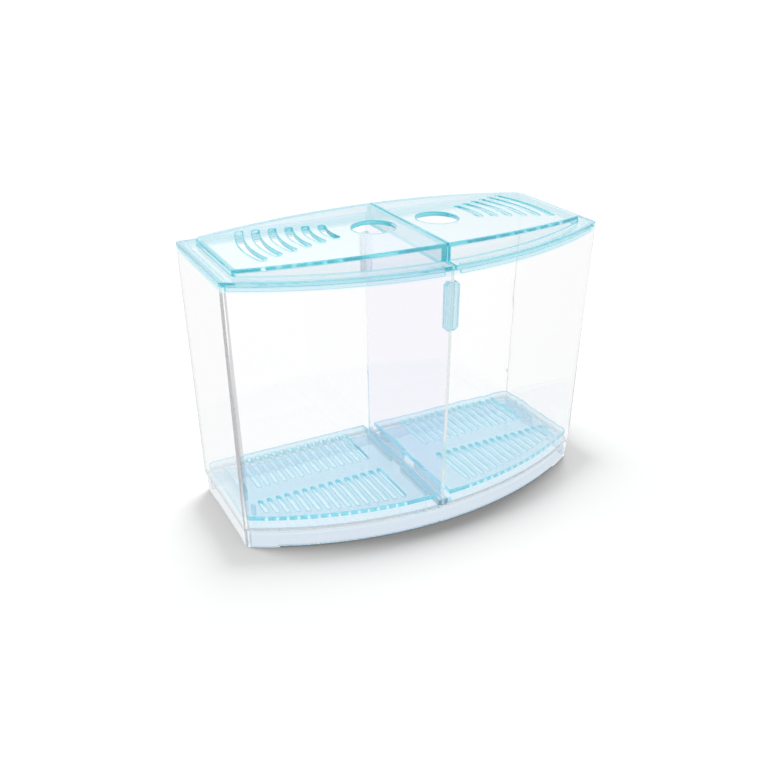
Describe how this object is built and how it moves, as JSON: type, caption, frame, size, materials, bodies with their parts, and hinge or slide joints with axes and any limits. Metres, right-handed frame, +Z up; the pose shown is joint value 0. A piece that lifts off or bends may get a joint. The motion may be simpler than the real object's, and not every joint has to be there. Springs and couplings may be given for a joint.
{
  "type": "divided fish tank",
  "caption": "Small clear bow-front fish tank with a lift-out divider, arched vented lids with feed holes, and slotted floor grates.",
  "frame": {"origin": "middle of the tank's footprint, at the level its feet stand on", "axes": "+X to the right along the tank's length, +Y to its flat back, +Z up"},
  "size_m": [0.185, 0.086, 0.1351],
  "materials": {
    "clear_plastic": "clear moulded plastic, polished",
    "guide_plastic": "clear moulded plastic",
    "divider_sheet": "clear sheet with a faint lilac tint",
    "lid_plastic": "transparent pale cyan, glossy",
    "grate_plastic": "translucent pale blue, satin"
  },
  "bodies": {
    "tank": {"tank_body": "clear_plastic", "front_divider_guide": "guide_plastic", "back_divider_guide": "guide_plastic"},
    "divider": {"divider_panel": "divider_sheet"},
    "left_lid": {"left_lid": "lid_plastic"},
    "right_lid": {"right_lid": "lid_plastic"},
    "left_grate": {"left_grate": "grate_plastic"},
    "right_grate": {"right_grate": "grate_plastic"}
  },
  "joints": [
    {"name": "divider_lift", "type": "slide", "parent": "tank", "child": "divider", "axis": [0, 0, 1], "range_m": [0, 0.12]},
    {"name": "left_lid_lift", "type": "slide", "parent": "divider", "child": "left_lid", "axis": [0, 0, 1], "range_m": [0, 0.06]},
    {"name": "right_lid_lift", "type": "slide", "parent": "divider", "child": "right_lid", "axis": [0, 0, 1], "range_m": [0, 0.06]},
    {"name": "left_grate_lift", "type": "slide", "parent": "tank", "child": "left_grate", "axis": [0, 0, 1], "range_m": [0, 0.1]},
    {"name": "right_grate_lift", "type": "slide", "parent": "tank", "child": "right_grate", "axis": [0, 0, 1], "range_m": [0, 0.1]}
  ]
}
